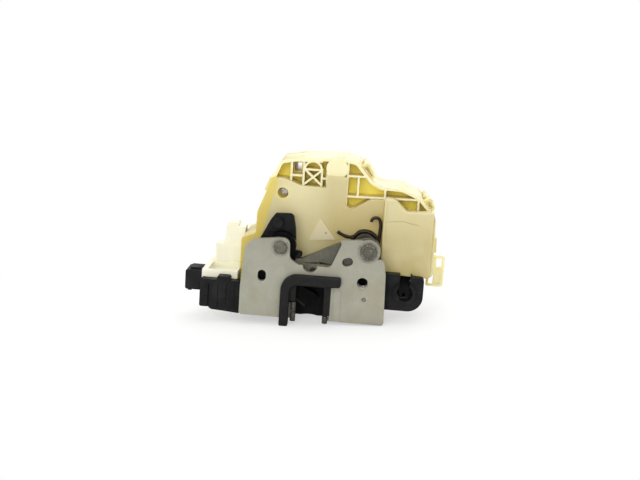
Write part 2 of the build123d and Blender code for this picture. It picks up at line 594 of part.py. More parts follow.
def cable_bracket():
    x, z = KEYHOLE_AT
    face = outline((43.0, -6.3, 1), (43.0, 15.4, 1), (58.6, 15.4, 0.8), (59.4, 14.2, 0.5),
                   (66.0, 14.0, 2), (66.0, -6.3, 9))
    face -= Pos(x, z) * Circle(KEYHOLE_R)
    face -= Pos(x - 0.3, z + 15) * Rectangle(NECK_W, 30)
    bracket = slab(face, BRACKET_Y, BRACKET_Y + BRACKET_T)
    collar = Pos(x, z) * (Circle(KEYHOLE_R + 2.2) - Circle(KEYHOLE_R))
    collar -= Pos(x - 0.3, z + 15) * Rectangle(NECK_W, 30)
    bracket += slab(collar, BRACKET_Y - 0.8, BRACKET_Y + BRACKET_T)
    # arms that carry the inner lever's pin behind the keyhole
    for left in (x - 7.4, x + 4.8):
        bracket += block(left, left + 2.4, BRACKET_Y + BRACKET_T - 1, INNER_PIVOT_Y + 6.8,
                         INNER_PIVOT_Z - 4, INNER_PIVOT_Z + 3.6)
    bracket += block(x - 7.4, x + 7.2, INNER_PIVOT_Y + 5.2, INNER_PIVOT_Y + 6.8,
                     INNER_PIVOT_Z - 15, INNER_PIVOT_Z + 3.6)
    bracket -= Pos(x, INNER_PIVOT_Y, INNER_PIVOT_Z) * Rot(0, 90, 0) * Cylinder(PIN_R, 30)
    return one(bracket)


PIN_R = 1.6


def lever_pin():
    x = KEYHOLE_AT[0]
    pin = Pos(x - 0.1, INNER_PIVOT_Y, INNER_PIVOT_Z) * Rot(0, 90, 0) * Cylinder(PIN_R, 16)
    return one(pin)


def inner_release_lever():
    """Bell crank behind the keyhole: the cable's nipple hangs in its lower arm."""
    x = KEYHOLE_AT[0]
    y, z = INNER_PIVOT_Y, INNER_PIVOT_Z
    side = make_face(FilletPolyline((y - 5, z - 2), (y - 4, z - 11), (y + 2, z - 13), (y + 4.6, z),
                                    (y + 2.4, z + 3.4), (y - 3, z + 3), radius=1.5, close=True))
    lever = extrude(Plane.YZ.offset(x - 3) * side, amount=6)
    lever -= Pos(x, y, z) * Rot(0, 90, 0) * Cylinder(PIN_R + RUN, 20)
    lever -= Pos(x, y - 1, z - 9) * Rot(0, 90, 0) * Cylinder(1.7, 20)
    lever -= block(x - 1, x + 1, y - 8, y - 1, z - 10.2, z - 7.8)
    return one(lever)


# ---------------------------------------------------------------- connector
def connector_block():
    """Stepped cream moulding left of the latch that carries the contacts."""
    block_ = block(-66.0, -44.6, 11.0, 44.0, -12.8, 8.4)
    block_ += block(-61.8, -44.6, 35.0, 46.0, 0, 19.6)
    block_ += block(-56.4, -44.6, 37.0, 48.0, 0, 30.5)
    block_ += slab(outline((-56.4, 30.4), (-55, 32.6, 1), (-49.6, 33.0, 1), (-48.6, 30.4)), 37, 48)
    hollow = block(-64.0, -44.0, 13.0, 42.0, -10.8, 6.4)
    hollow += block(-59.8, -44.0, 37.0, 44.0, 2, 17.6)
    hollow += block(-54.4, -44.0, 39.0, 46.0, 2, 28.5)
    block_ -= hollow
    block_ += block(-64.5, -45, 12, 35, 3.6, 8.4)
    block_ -= block(-62.8, -46.6, 13.4, 33.4, 5.0, 9.0)
    block_ -= block(-70, -60, 14, 22, -1.2, 3.4)
    return one(block_)


SOCKET = (-75.9, -66.0, 11.0, 25.0, -4.6, 7.4)      # outer box of the plug socket
PIN_ROWS, PIN_COLUMNS, PIN_PITCH = 2, 3, 3.2


def plug_socket():
    x0, x1, y0, y1, z0, z1 = SOCKET
    shell = block(x0, x1, y0, y1, z0, z1)
    shell = fillet(shell.edges().filter_by(Axis.Y), 1.2)
    shell -= block(x0 - 1, x1 - 1.6, y0 + 1.6, y1 - 1.6, z0 + 1.6, z1 - 1.6)
    for i in range(6):                         # grip ribs on the upper side
        y = y0 + 3 + i * (y1 - y0 - 6) / 5
        shell += block(x0 + 2.5, x1, y - 0.6, y + 0.6, z1 - 0.3, z1 + 1.2)
    shell += block(x0 + 1.2, x0 + 3.4, (y0 + y1) / 2 - 4, (y0 + y1) / 2 + 4, z0 - 1.4, z0 + 0.2)
    for y, z in pin_places():
        shell -= block(x1 - 3, x1 + 1, y - 0.35, y + 0.35, z - 0.35, z + 0.35)
    return one(shell)


def pin_places():
    y_mid, z_mid = (SOCKET[2] + SOCKET[3]) / 2, (SOCKET[4] + SOCKET[5]) / 2
    for row in range(PIN_ROWS):
        for column in range(PIN_COLUMNS):
            yield (y_mid + (column - (PIN_COLUMNS - 1) / 2) * PIN_PITCH,
                   z_mid + (row - (PIN_ROWS - 1) / 2) * 3.0)


def connector_pins():
    pins = []
    for y, z in pin_places():
        pin = block(SOCKET[0] + 4.4, SOCKET[1] + 5, y - 0.32, y + 0.32, z - 0.32, z + 0.32)
        pins.append(pin)
    return Compound([one(p) for p in pins])


# ---------------------------------------------------------------- lock drive
WHEEL_AT = (22.3, 40.2)
AXLE_R = 2.0
SHAFT_R = 1.0
MODULE = 1.0
WHEEL_TEETH = 28
WORM_PITCH_R = 3.4
WORM_GAP = 0.1                # extra centre distance of worm and wheel
WHEEL_Y0, WHEEL_Y1 = 42.4, 46.6
WORM_Y = (WHEEL_Y0 + WHEEL_Y1) / 2
WHEEL_R = MODULE * WHEEL_TEETH / 2
WORM_Z = WHEEL_AT[1] + WHEEL_R + WORM_PITCH_R + WORM_GAP
PINION_TEETH = 12
PINION_R = MODULE * PINION_TEETH / 2
TOOTH_TOP, TOOTH_ROOT = 0.8, 1.1
WORM_TURNS = 5
MOTOR_X0, MOTOR_X1 = -15.0, 9.0
MOTOR_R, MOTOR_FLAT = 8.5, 14.0
MOTOR_Y0 = WORM_Y - MOTOR_FLAT / 2


def gear_face(teeth, slack, top=TOOTH_TOP, root=TOOTH_ROOT):
    """A spur gear's face with straight-flanked teeth thinned by a slack, one tooth on top."""
    r = MODULE * teeth / 2
    half = (pi * MODULE / 4 - slack / 2) / r                # half tooth angle at the pitch circle
    lean = tan(radians(20)) / r
    corners = []
    for i in range(teeth):
        mid = pi / 2 + 2 * pi * i / teeth
        for sign, reach in ((-1, -root), (-1, top), (1, top), (1, -root)):
            a = mid + sign * (half - lean * reach)
            corners.append(((r + reach) * cos(a), (r + reach) * sin(a)))
    return make_face(Polyline(*corners, close=True))


def lock_wheel():
    wheel = slab(gear_face(WHEEL_TEETH, 0.5), WHEEL_Y0, WHEEL_Y1)
    for i in range(6):
        hole = Pos(*polar((0, 0), 9.2, 60 * i + 30)) * Circle(2.3)
        wheel -= slab(hole, WHEEL_Y0 - 1, WHEEL_Y1 + 1)
    wheel += slab(gear_face(PINION_TEETH, 0.35), WHEEL_Y0 - 5.2, WHEEL_Y0)
    wheel += disc((0, 0), 4.0, WHEEL_Y1, COVER_Y - GAP)
    wheel -= disc((0, 0), AXLE_R + RUN, 0, 80)
    return one(Pos(WHEEL_AT[0], 0, WHEEL_AT[1]) * wheel)


def wheel_axle():
    return one(disc(WHEEL_AT, AXLE_R, MID_Y + WALL + 1, COVER_BACK - WALL))


def motor_worm():
    """Motor shaft with a single-start worm, turning about X."""
    lead = pi * MODULE
    core_r, crest = WORM_PITCH_R - TOOTH_ROOT, WORM_PITCH_R + TOOTH_TOP
    first = WHEEL_AT[0] - WORM_TURNS * lead / 2        # a tooth of the wheel meets a gap
    foot, head = 0.30 * lead, 0.11 * lead
    section = make_face(Polyline((core_r - 0.15, -foot), (crest, -head), (crest, head),
                                 (core_r - 0.15, foot), close=True))
    helix = Helix(pitch=lead, height=WORM_TURNS * lead, radius=WORM_PITCH_R)
    thread = sweep(Plane.XZ * section, path=helix, is_frenet=True)
    upward = (Align.CENTER, Align.CENTER, Align.MIN)
    core = Pos(0, 0, -1.2) * Cylinder(core_r, WORM_TURNS * lead + 2.4, align=upward)
    shaft_from = MOTOR_X1 - 3.5 - first
    shaft = Pos(0, 0, shaft_from) * Cylinder(SHAFT_R, WORM_TURNS * lead + 2.6 - shaft_from,
                                             align=upward)
    return one(Pos(first, WORM_Y, WORM_Z) * Rot(0, 90, 0) * (core + shaft + thread))


def lock_motor():
    length = MOTOR_X1 - MOTOR_X0
    motor = extrude(Plane.YZ * (Circle(MOTOR_R) & Rectangle(MOTOR_FLAT, 2 * MOTOR_R)), amount=length)
    motor += extrude(Plane.YZ.offset(length) * Circle(2.8), amount=1.0)
    motor -= extrude(Plane.YZ.offset(length - 4) * Circle(SHAFT_R + RUN), amount=8)
    for z in (-4.5, 4.5):
        motor += block(-1.2, 0, -2.2, 2.2, z - 0.4, z + 0.4)
    return one(Pos(MOTOR_X0, WORM_Y, WORM_Z) * motor)


def lock_slider():
    """Rack driven by the wheel's pinion; its finger blocks or frees the release levers."""
    pitch_z = WHEEL_AT[1] - PINION_R - 0.05
    y0, y1 = WHEEL_Y0 - 5.0, WHEEL_Y0 - 0.4
    count = 11
    lean = tan(radians(20))
    corners = []
    for i in range(count):
        mid = WHEEL_AT[0] + (i - (count - 1) / 2) * pi * MODULE + pi * MODULE / 2
        half = pi * MODULE / 4 - 0.18
        for sign, reach in ((-1, -TOOTH_ROOT), (-1, TOOTH_TOP), (1, TOOTH_TOP), (1, -TOOTH_ROOT)):
            corners.append((mid + sign * (half - lean * reach), pitch_z + reach))
    foot = pitch_z - TOOTH_ROOT - 3.0
    corners = [(corners[0][0], foot), *corners, (corners[-1][0], foot)]
    slider = slab(make_face(Polyline(*corners, close=True)), y0, y1)
    left = corners[0][0]
    slider += block(left - 10, left + 2, y0, y1, foot, foot + 3.2)
    slider += block(left - 10, left - 7, INNER_Y + 1.5, y1, foot, foot + 6)
    return one(slider)


def slider_guide():
    """Ledge with a front lip that the rack slides along; the wheel keeps it in from behind."""
    foot = WHEEL_AT[1] - PINION_R - 0.05 - TOOTH_ROOT - 3.0
    y0, y1 = WHEEL_Y0 - 5.0, WHEEL_Y0 - 0.4
    x0, x1 = WHEEL_AT[0] - 12, WHEEL_AT[0] + 14
    guide = block(x0, x1, INNER_Y, y1, foot - 2.0, foot - 0.1)
    guide += block(x0, x1, y0 - 1.6, y0 - 0.15, foot - 2.0, foot + 1.4)
    return one(guide)


# ---------------------------------------------------------------- switches and contacts
def switch_body(x, y0, y1, z0, z1):
    """A snap switch whose plunger leaves towards +X."""
    body = block(x - 7.0, x, y0, y1, z0, z1)
    body -= block(x - 3.2, x + 1, (y0 + y1) / 2 - 1.0, (y0 + y1) / 2 + 1.0,
                  (z0 + z1) / 2 - 1.4, (z0 + z1) / 2 + 1.4)
    for z in (z0 + 1.5, z1 - 1.5):
        body += block(x - 8.4, x - 7.0, (y0 + y1) / 2 - 0.25, (y0 + y1) / 2 + 0.25, z - 0.8, z + 0.8)
    return one(body)


def switch_plunger(x, y0, y1, z0, z1):
    y, z = (y0 + y1) / 2, (z0 + z1) / 2
    body = block(x - 2.0, x + 1.4, y - 0.95, y + 0.95, z - 1.35, z + 1.35)
    return one(fillet(body.edges().filter_by(Axis.Y).group_by(Axis.X)[-1], 0.9))


CLAW_SWITCH = (-30.9, FLOOR_Y - 5.0, FLOOR_Y, -9.0, 1.0)
LOCK_SWITCH = (-8.0, INNER_Y, INNER_Y + 6.0, 28.0, 38.0)


def contact_strips():
    """Stamped conductors from the plug pins into the actuator case."""
    strips = []
    for i in range(4):
        z = -7.4 + i * 2.7
        strip = block(-63.0, -38.0, 41.2, 42.0, z, z + 1.6)
        strip += block(-38.8, -38.0, 38.0, 42.0, z, z + 1.6)
        strips.append(one(strip))
    return Compound(strips)


# ---------------------------------------------------------------- write every node
def nodes():
    core, sleeve = claw_faces()
    pawl = pawl_outline()
    return {
        "latch_plate": latch_plate(),
        "mouth_bumper": mouth_bumper(),
        "claw_rivet": rivet(CLAW_PIVOT, 3.7, CLAW_BORE, False),
        "pawl_rivet": rivet(PAWL_PIVOT, 4.7, PAWL_BORE, True),
        "claw": one(slab(core, CLAW_Y + GAP, CLAW_BACK - GAP)),
        "claw_sleeve": one(slab(sleeve, CLAW_Y, CLAW_BACK)),
        "pawl": one(slab(pawl, CLAW_Y, CLAW_BACK - 0.4)),
        "outer_release_lever": outer_release_lever(),
        "latch_case": latch_case(),
        "back_plate": back_plate(),
        "weld_nut": weld_nut(),
        "spring_spool": spring_spool(),
        "pawl_spring": pawl_spring(),
        "actuator_case": actuator_case(),
        "case_seal": case_seal(),
        "actuator_cover": actuator_cover(),
        "case_screws": case_screws(),
        "linkage_cover": linkage_cover(),
        "release_link": release_link(),
        "claw_spring": claw_spring(),
        "cable_bracket": cable_bracket(),
        "lever_pin": lever_pin(),
        "inner_release_lever": inner_release_lever(),
        "connector_block": connector_block(),
        "plug_socket": plug_socket(),
        "connector_pins": connector_pins(),
        "lock_wheel": lock_wheel(),
        "wheel_axle": wheel_axle(),
        "motor_worm": motor_worm(),
        "lock_motor": lock_motor(),
        "lock_slider": lock_slider(),
        "slider_guide": slider_guide(),
        "claw_switch": switch_body(*CLAW_SWITCH),
        "claw_switch_plunger": switch_plunger(*CLAW_SWITCH),
        "lock_switch": switch_body(*LOCK_SWITCH),
        "lock_switch_plunger": switch_plunger(*LOCK_SWITCH),
        "contact_strips": contact_strips(),
    }


for name, shape in nodes().items():
    export_step(shape, f"parts/{name}.step")
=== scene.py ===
"""Looks of the door latch actuator: finishes, fine detail, floor, light and camera."""
import math

import bmesh
import bpy
from mathutils import Matrix, Vector


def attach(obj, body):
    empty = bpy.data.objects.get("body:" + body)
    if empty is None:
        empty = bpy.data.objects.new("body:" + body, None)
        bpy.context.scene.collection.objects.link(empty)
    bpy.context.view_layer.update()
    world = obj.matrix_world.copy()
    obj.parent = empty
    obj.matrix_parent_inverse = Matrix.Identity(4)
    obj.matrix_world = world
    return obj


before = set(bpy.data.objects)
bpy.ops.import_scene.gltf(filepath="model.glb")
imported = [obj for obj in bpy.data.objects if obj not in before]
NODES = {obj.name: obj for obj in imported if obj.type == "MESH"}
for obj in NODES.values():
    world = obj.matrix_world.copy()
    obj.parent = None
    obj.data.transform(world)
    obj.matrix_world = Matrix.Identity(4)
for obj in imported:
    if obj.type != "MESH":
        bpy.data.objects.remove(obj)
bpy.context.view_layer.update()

MM = 0.001

# Places on the solids, in mm: (x, z) in the front view, y from the plate's front face inwards.
CLAW_PIVOT = (-18.8, 27.7)               # axes of the two rivets
PAWL_PIVOT = (32.3, 29.0)
LIP_X = 11.9                             # outer sides and top of the plate's rolled mouth lips
LIP_Z = -3.5
FACE_Y = 21.0                            # smooth wall of the drive case
RIM_Y = 24.0                             # front edges of its ribs
PANEL_Y = 34.0                           # panel set back between the ribs
BAND_ACROSS = (0.971, 0.0, -0.240)       # direction across the band of painted shade and amber glow on its left edge
BAND_FROM = -39.0                        # the band's inner side, along that direction
BORE_AT = (-21.3, 56.3)                  # through bore of the case
BORE_R = 3.3
FACET_MARK = (5.9, 34.2)                 # gate mark on the raised facet
THREAD_AT = (30.0, 10.2)                 # right fixing hole, an M8 thread
THREAD_R = 3.35
THREAD_PITCH = 1.25
THREAD_END = 9.0                         # back of the collar that it ends in
LEVER_PIP = (-21.5, 42.8)                # small raised dots on the lever and on the pawl
LEVER_Y = 2.6                            # front of the lever's upper arm
PAWL_PIP = (6.1, 22.1)
PAWL_Y = 3.6                             # front of the pawl

DEFAULT_EDGE = 0.2                       # edge bevel of a piece that EDGE doesn't name
WELD_REACH = 0.002
SHARP = math.radians(32)                 # edges sharper than this are bevelled


# ---------------------------------------------------------------- materials
def linear(code):
    """Linear colour of a hex code."""
    rgb = [int(code[i:i + 2], 16) / 255 for i in (0, 2, 4)]
    return tuple(c / 12.92 if c <= 0.04045 else ((c + 0.055) / 1.055) ** 2.4 for c in rgb) + (1.0,)


class Finish:
    """A node material built up layer by layer on a Principled shader."""

    def __init__(self, name, colour, roughness, metallic=0.0, specular=0.5):
        self.material = bpy.data.materials.new(name)
        self.material.use_nodes = True
        self.tree = self.material.node_tree
        self.shader = self.tree.nodes["Principled BSDF"]
        self.set("Roughness", roughness)
        self.set("Metallic", metallic)
        self.set("Specular IOR Level", specular)
        source = self.node("ShaderNodeTexCoord")
        self.place = source.outputs["Object"]
        self.facing = source.outputs["Normal"]
        rgb = self.node("ShaderNodeRGB")
        rgb.outputs[0].default_value = linear(colour)
        self.colour = rgb.outputs[0]
        self.normal = None

    def node(self, kind, **values):
        """A new node with its settings."""
        made = self.tree.nodes.new(kind)
        for key, value in values.items():
            setattr(made, key, value)
        return made

    def link(self, a, b):
        self.tree.links.new(a, b)

    def set(self, socket, value):
        """A constant on the shader's own socket."""
        self.shader.inputs[socket].default_value = value

    def stretched(self, scale):
        """The object's own coordinates, stretched along some axes."""
        mapping = self.node("ShaderNodeMapping")
        self.link(self.place, mapping.inputs["Vector"])
        mapping.inputs["Scale"].default_value = scale
        return mapping.outputs["Vector"]

    def noise(self, size, low, high, detail=4.0, stretch=None, rough=0.55):
        """Noise with features of about size mm, clipped to 0 below low and 1 above high."""
        texture = self.node("ShaderNodeTexNoise")
        self.link(self.stretched(stretch) if stretch else self.place, texture.inputs["Vector"])
        texture.inputs["Scale"].default_value = 1 / (size * MM)
        texture.inputs["Detail"].default_value = detail
        texture.inputs["Roughness"].default_value = rough
        return self.ranged(texture.outputs["Fac"], low, high)

    def ranged(self, value, low, high, to=(0.0, 1.0)):
        """Takes low to high onto another range, and clips what lies outside."""
        span = self.node("ShaderNodeMapRange", clamp=True)
        self.link(value, span.inputs["Value"])
        for socket, number in zip(("From Min", "From Max", "To Min", "To Max"), (low, high) + to):
            span.inputs[socket].default_value = number
        return span.outputs["Result"]

    def times(self, a, b):
        """Product of two masks, or of a mask and a number."""
        product = self.node("ShaderNodeMath", operation="MULTIPLY")
        for socket, value in zip(product.inputs, (a, b)):
            if isinstance(value, float):
                socket.default_value = value
            else:
                self.link(value, socket)
        return product.outputs[0]

    def tint(self, colour, mask, amount):
        """Blends another colour in where the mask is."""
        mix = self.node("ShaderNodeMix", data_type="RGBA")
        self.link(self.times(mask, float(amount)), mix.inputs["Factor"])
        self.link(self.colour, mix.inputs["A"])
        mix.inputs["B"].default_value = linear(colour)
        self.colour = mix.outputs["Result"]

    def occlusion(self, distance, shut, free, samples):
        """1 where the openness within distance mm is under shut, 0 where it is over free."""
        shade = self.node("ShaderNodeAmbientOcclusion", samples=samples)
        shade.inputs["Distance"].default_value = distance * MM
        return self.ranged(shade.outputs["AO"], shut, free, (1.0, 0.0))

    def crevice(self, distance):
        """1 deep in corners and recesses, 0 in the open."""
        return self.occlusion(distance, 0.25, 0.85, 4)

    def enclosed(self, distance):
        """1 wherever walls stand close by, 0 only on open outer faces."""
        return self.occlusion(distance, 0.78, 0.97, 8)

    def axis(self, index, low, high):
        """0 to 1 along an axis of the frame (0 is x, 1 is y, 2 is z), in mm."""
        parts = self.node("ShaderNodeSeparateXYZ")
        self.link(self.place, parts.inputs[0])
        return self.ranged(parts.outputs[index], low * MM, high * MM)

    def along(self, direction, low, high):
        """0 to 1 along any direction, in mm."""
        dot = self.node("ShaderNodeVectorMath", operation="DOT_PRODUCT")
        self.link(self.place, dot.inputs[0])
        dot.inputs[1].default_value = direction
        return self.ranged(dot.outputs["Value"], low * MM, high * MM)

    def layer(self, low, high, soft=0.3):
        """1 between two depths behind the plate's face, in mm."""
        return self.times(self.axis(1, low - soft, low), self.axis(1, high + soft, high))

    def near(self, at, full, none):
        """1 within a radius of an axis along Y through (x, z), falling to 0, in mm."""
        flat = self.node("ShaderNodeVectorMath", operation="MULTIPLY")
        self.link(self.place, flat.inputs[0])
        flat.inputs[1].default_value = (1, 0, 1)
        reach = self.node("ShaderNodeVectorMath", operation="DISTANCE")
        self.link(flat.outputs[0], reach.inputs[0])
        reach.inputs[1].default_value = (at[0] * MM, 0, at[1] * MM)
        return self.ranged(reach.outputs["Value"], none * MM, full * MM)

    def frontal(self):
        """1 on faces that look out of the door, 0 on walls and backs."""
        parts = self.node("ShaderNodeSeparateXYZ")
        self.link(self.facing, parts.inputs[0])
        return self.ranged(parts.outputs[1], -0.4, -0.8)

    def uneven(self, mask, low, high):
        """Roughness that varies with the mask."""
        self.link(self.ranged(mask, 0.0, 1.0, (low, high)), self.shader.inputs["Roughness"])

    def bump(self, height, depth, strength=0.6):
        """Adds relief of that depth in mm."""
        relief = self.node("ShaderNodeBump")
        relief.inputs["Strength"].default_value = strength
        relief.inputs["Distance"].default_value = depth * MM
        self.link(height, relief.inputs["Height"])
        if self.normal:
            self.link(self.normal, relief.inputs["Normal"])
        self.normal = relief.outputs["Normal"]

    def done(self):
        """The finished material."""
        self.link(self.colour, self.shader.inputs["Base Color"])
        if self.normal:
            self.link(self.normal, self.shader.inputs["Normal"])
        return self.material


def plated_steel(name, colour="8F8E80", dark="747365", light="A3A295", roughness=0.46,
                 metallic=0.35):
    """Pressed steel with a matt zinc coat, rolled grain, scuffs and dull patches."""
    f = Finish(name, colour, roughness, metallic)
    patches = f.noise(14, 0.38, 0.66)
    f.tint(dark, patches, 0.25)
    grain = f.noise(1.4, 0.3, 0.7, stretch=(1, 1, 0.12))
    f.tint(light, grain, 0.12)
    f.tint(light, f.noise(5, 0.5, 0.72, detail=6), 0.25)
    f.tint(light, f.noise(5, 0.66, 0.74, detail=8, stretch=(0.25, 1, 1)), 0.6)
    # painted shade in crevices and corners
    f.tint("33312A", f.crevice(5), 0.6)
    f.tint("55523F", f.noise(2.2, 0.70, 0.78, detail=3), 0.5)
    f.uneven(patches, roughness - 0.08, roughness + 0.16)
    f.bump(grain, 0.012)
    f.bump(f.noise(0.5, 0.2, 0.8), 0.03)
    return f


def latch_steel():
    """The plate: warm and cool patches, painted shade towards the top, painted shadow round the
    rivets and painted shade on the mouth's lips.
    """
    f = plated_steel("latch_steel")
    f.tint("8A816B", f.noise(26, 0.45, 0.7, detail=2), 0.45)
    # painted shade: darker towards the top of the plate, to even out the light from above
    f.tint("77766A", f.axis(2, 8, 34), 0.45)
    # painted shadow round the rivet heads, broken up by noise
    for at, reach in ((CLAW_PIVOT, 4.4), (PAWL_PIVOT, 5.6)):
        f.tint("4F4D42", f.times(f.near(at, reach, reach + 1.6), f.noise(2.5, 0.3, 0.6)), 0.75)
    # painted shade on the lips inside the mouth, with paler specks
    inside = f.times(f.axis(0, -LIP_X, -LIP_X + 0.4), f.axis(0, LIP_X, LIP_X - 0.4))
    lips = f.times(inside, f.axis(2, LIP_Z, LIP_Z - 0.7))
    f.tint("24231F", lips, 0.9)
    f.tint("77756A", f.times(lips, f.noise(1.3, 0.6, 0.7, detail=4)), 0.8)
    return f


def bright_steel(name, colour="C4C2B8", roughness=0.3, hammered=0.02):
    """Bare machined or headed steel."""
    f = Finish(name, colour, roughness, 0.9)
    f.tint("6A675D", f.noise(3, 0.4, 0.7), 0.4)
    # painted shade in crevices
    f.tint("2F2C25", f.crevice(2.5), 0.7)
    f.tint("3A3831", f.noise(1.6, 0.5, 0.66, detail=5), 0.5)
    f.tint("B3B1A5", f.noise(1.1, 0.6, 0.72, detail=3), 0.5)
    f.uneven(f.noise(2, 0.3, 0.7), roughness - 0.06, roughness + 0.15)
    f.bump(f.noise(0.9, 0.3, 0.7), hammered)
    return f


def spring_steel(name):
    """Dark oiled spring wire with rusty patches."""
    f = Finish(name, "261D11", 0.38, 0.7)
    f.tint("1E1710", f.noise(2.5, 0.35, 0.65), 0.6)
    f.tint("6E5638", f.noise(1.2, 0.6, 0.75), 0.4)
    f.uneven(f.noise(1.5, 0.3, 0.7), 0.28, 0.5)
    f.bump(f.noise(0.5, 0.3, 0.7), 0.02)
    return f


def black_plastic(name, colour="121213", light="252526", roughness=0.5, specular=0.09):
    """Glass-filled black nylon with a fine grain, grey dust and rubbed edges."""
    f = Finish(name, colour, roughness, 0.0, specular)
    f.tint(light, f.noise(9, 0.4, 0.7), 0.6)
    f.tint("3B3933", f.noise(3.5, 0.5, 0.8, detail=7), 0.16)
    f.tint("4A4740", f.noise(4, 0.68, 0.76, detail=8, stretch=(1, 1, 0.3)), 0.35)
    # painted shade in corners and recesses
    f.tint("020203", f.crevice(9), 0.9)
    f.uneven(f.noise(6, 0.35, 0.65), roughness - 0.1, roughness + 0.12)
    f.bump(f.noise(0.35, 0.25, 0.75), 0.03)
    f.bump(f.noise(9, 0.2, 0.8), 0.05, 0.3)
    return f


def rubber(name):
    """Black rubber with a dusty bloom."""
    f = Finish(name, "0B0A0A", 0.6, 0.0, 0.18)
    f.tint("1B1A17", f.noise(4, 0.5, 0.8, detail=6), 0.5)
    f.uneven(f.noise(5, 0.3, 0.7), 0.45, 0.7)
    f.bump(f.noise(0.6, 0.3, 0.7), 0.04)
    return f


def nylon(name, colour, deep, pale, glow=0.4):
    """Natural nylon: pale and waxy in the open, with a yellower painted glow and shade in corners and
    recesses.
    """
    f = Finish(name, colour, 0.42, 0.0, 0.4)
    f.tint(pale, f.noise(22, 0.45, 0.75), 0.3)
    # deep: painted glow of light through the nylon and painted shade, in corners and recesses
    f.tint(deep, f.crevice(9), 0.6)
    f.tint("B5A360", f.noise(7, 0.45, 0.75, detail=5, stretch=(1, 1, 0.35)), 0.14)
    f.tint("8F7B42", f.noise(1.6, 0.72, 0.8, detail=3), 0.3)
    f.uneven(f.noise(8, 0.3, 0.7), 0.34, 0.55)
    f.bump(f.noise(0.8, 0.25, 0.75), 0.02)
    f.bump(f.noise(12, 0.2, 0.8), 0.12, 0.35)
    f.set("Subsurface Weight", glow)
    f.set("Subsurface Radius", (1.0, 0.8, 0.3))
    f.set("Subsurface Scale", 5.0 * MM)
    return f


def case_nylon():
    """The drive case: a painted amber glow where the panel is set back, pale on the ribs' edges,
    painted shade in a hollow and behind the notch.
    """
    f = nylon("case_nylon", "BDB285", "CDB96C", "D2C899")
    front = f.layer(FACE_Y - 1.5, FACE_Y + 1)
    field = f.layer(RIM_Y + 2, PANEL_Y + 0.8)
    # painted shade of a recess on the right of the smooth wall
    painted_hollow_shade = f.times(f.axis(0, 0, 11), f.axis(2, 62, 42))
    f.tint("A8924A", f.times(painted_hollow_shade, front), 0.5)
    # darker and more amber towards the lower left
    f.tint("A3925A", f.along((-0.7, 0, -0.7), -14, 2), 0.35)
    # paler round the top left of the smooth wall
    f.tint("D2C99F", f.times(f.near((-13, 59), 4, 20), front), 0.7)
    f.tint("D2C58C", f.axis(1, RIM_Y, RIM_Y + 4), 0.8)
    floor = f.times(f.frontal(), f.layer(PANEL_Y - 0.8, PANEL_Y + 0.8))
    walls = f.times(f.axis(1, RIM_Y + 1, PANEL_Y - 3), field)
    # painted amber glow of light through the nylon on the ribs' walls inside the recess
    f.tint("F6DE66", f.times(walls, f.enclosed(8)), 0.5)
    # painted amber glow on the panel's floor, mottled below
    f.tint("FFE95E", floor, 0.98)
    f.tint("D9C038", f.times(floor, f.noise(9, 0.5, 0.75)), 0.25)
    # painted glow of light through the nylon in the bore
    f.tint("E2CC50", f.near(BORE_AT, BORE_R + 0.1, BORE_R + 0.6), 0.8)
    f.tint("E4DDB4", f.layer(RIM_Y - 0.6, RIM_Y + 0.5), 0.85)
    f.tint("E4DCB2", f.axis(0, 69, 70.5), 0.85)
    # painted shade and amber glow of a side wall, on the front faces along the left edge
    band_shade_glow = f.along(BAND_ACROSS, BAND_FROM + 0.5, BAND_FROM - 0.5)
    f.tint("CDB73E", f.times(f.times(band_shade_glow, front), f.frontal()), 0.7)
    f.tint("C6BC9A", f.layer(FACE_Y - 0.9, FACE_Y - 0.5, 0.2), 0.9)
    f.tint("7D7250", f.near(FACET_MARK, 0.35, 0.8), 0.8)
    below = f.times(f.times(f.axis(0, -14, -11), f.axis(0, 20, 17)), f.axis(2, 18.6, 18.0))
    f.tint("332C1C", f.times(below, front), 0.9)                # painted shade on the wall low behind the notch
    f.tint("1E1C18", f.axis(1, FACE_Y - 2, FACE_Y - 3), 0.95)   # painted shade on what stands out in front of it
    return f


def cover_nylon():
    """The flat cover: paler at the top, honey-coloured and mottled below."""
    f = nylon("cover_nylon", "B9AD80", "CDB862", "C6BC94")
    f.tint("CCC298", f.axis(2, 34, 56), 0.6)
    f.tint("A08F54", f.times(f.noise(16, 0.4, 0.7), f.axis(2, 46, 20)), 0.5)
    f.tint("A89858", f.axis(2, 26, 8), 0.3)
    return f


def brass(name):
    """Stamped contact brass, a little tarnished."""
    f = Finish(name, "B99B4E", 0.3, 0.95)
    f.tint("6E5A2C", f.noise(2, 0.45, 0.7), 0.5)
    f.uneven(f.noise(2, 0.3, 0.7), 0.24, 0.42)
    f.bump(f.noise(0.4, 0.3, 0.7), 0.015)
    return f


CASE = case_nylon().done()
CREAM = nylon("cream_nylon", "CFC492", "E6D25C", "E4DAAE").done()
COVER = cover_nylon().done()
AMBER = nylon("amber_nylon", "D8C67C", "C2A136", "E0D08C").done()
WHITE = nylon("white_nylon", "E6E3D0", "E6E0C2", "F0EEE2", 0.2).done()
BLACK = black_plastic("black_nylon").done()
SOFT_BLACK = black_plastic("soft_black_nylon", "1A1A1B", "28282A", 0.55).done()
COATED = black_plastic("claw_coating", "030304", "08080A", 0.45, 0.04).done()
RUBBER = rubber("black_rubber").done()
PLATE = latch_steel().done()
BACK_STEEL = plated_steel("back_steel").done()
RELEASE = plated_steel("release_steel", "474539", "312F27", "6C6A5E", 0.44, 0.4).done()
DRUM = plated_steel("drum_steel", "403E31", "2A2820", "5E5B46", 0.5, 0.4).done()
RIVET = bright_steel("rivet_steel", "4F4D45", 0.42, 0.08).done()
STEEL = bright_steel("bright_steel").done()
SPRING = spring_steel("spring_steel").done()
CONTACT = brass("contact_brass").done()

